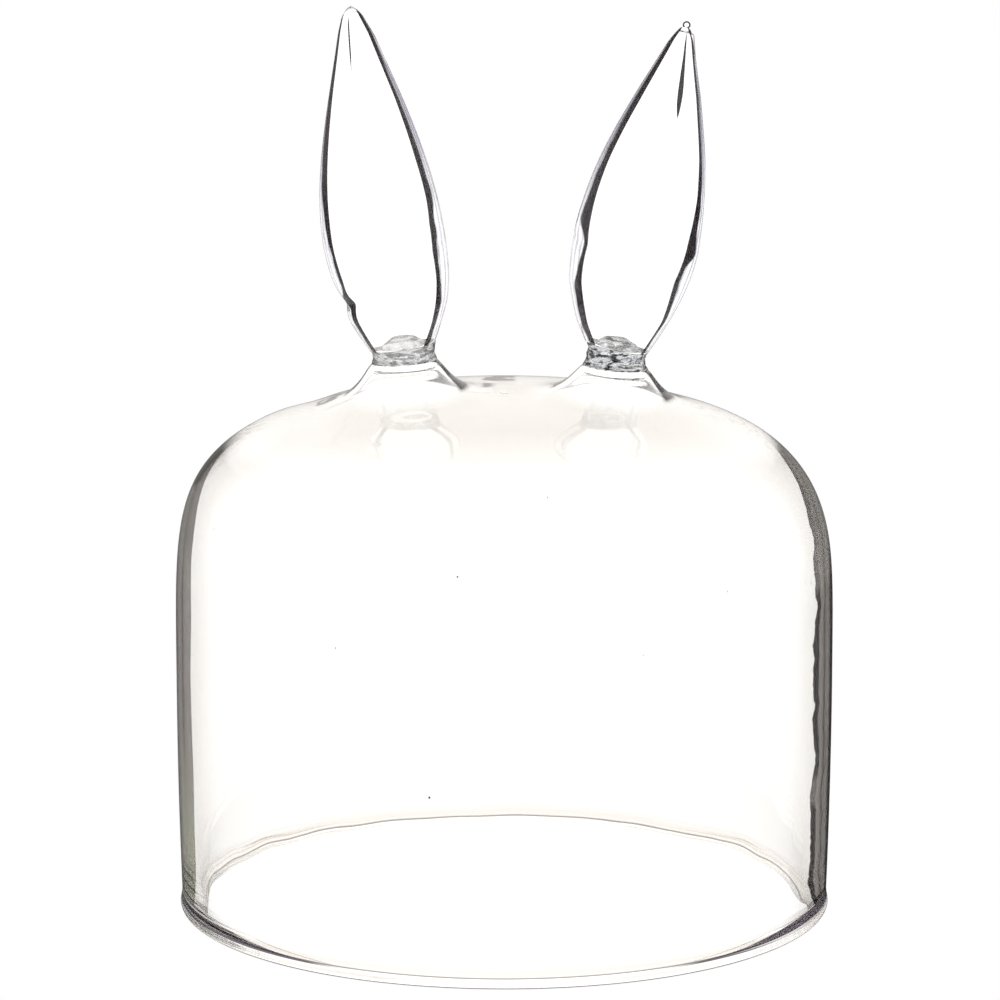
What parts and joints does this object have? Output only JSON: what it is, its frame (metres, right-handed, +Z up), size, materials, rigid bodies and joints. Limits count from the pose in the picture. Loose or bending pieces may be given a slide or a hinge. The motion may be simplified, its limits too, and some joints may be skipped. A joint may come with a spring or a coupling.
{
  "type": "glass cloche",
  "caption": "Hand-blown clear glass bell, open below with a rolled rim, topped by leaf-shaped hollow glass ears fused on thick glass collars.",
  "frame": {"origin": "centre of the rim's resting plane, on the bell's axis", "axes": "+Z up along the bell's axis, +X towards the right ear, +Y to the back"},
  "size_m": [0.23, 0.23, 0.3161],
  "materials": {
    "bell_glass": "clear, glossy, fire-polished",
    "lip_glass": "clear, glossy, faint green-grey edge",
    "ear_glass": "clear, glossy, softly wavy",
    "seal_glass": "clear, crinkled, with trapped bubbles"
  },
  "bodies": {
    "root": {"dome_shell": "bell_glass", "rim_lip": "lip_glass", "left_ear_shell": "ear_glass", "right_ear_shell": "ear_glass", "left_ear_seal": "seal_glass", "right_ear_seal": "seal_glass", "left_ear_plug": "seal_glass", "right_ear_plug": "seal_glass", "left_ear_bead": "ear_glass", "right_ear_bead": "ear_glass"}
  },
  "joints": []
}
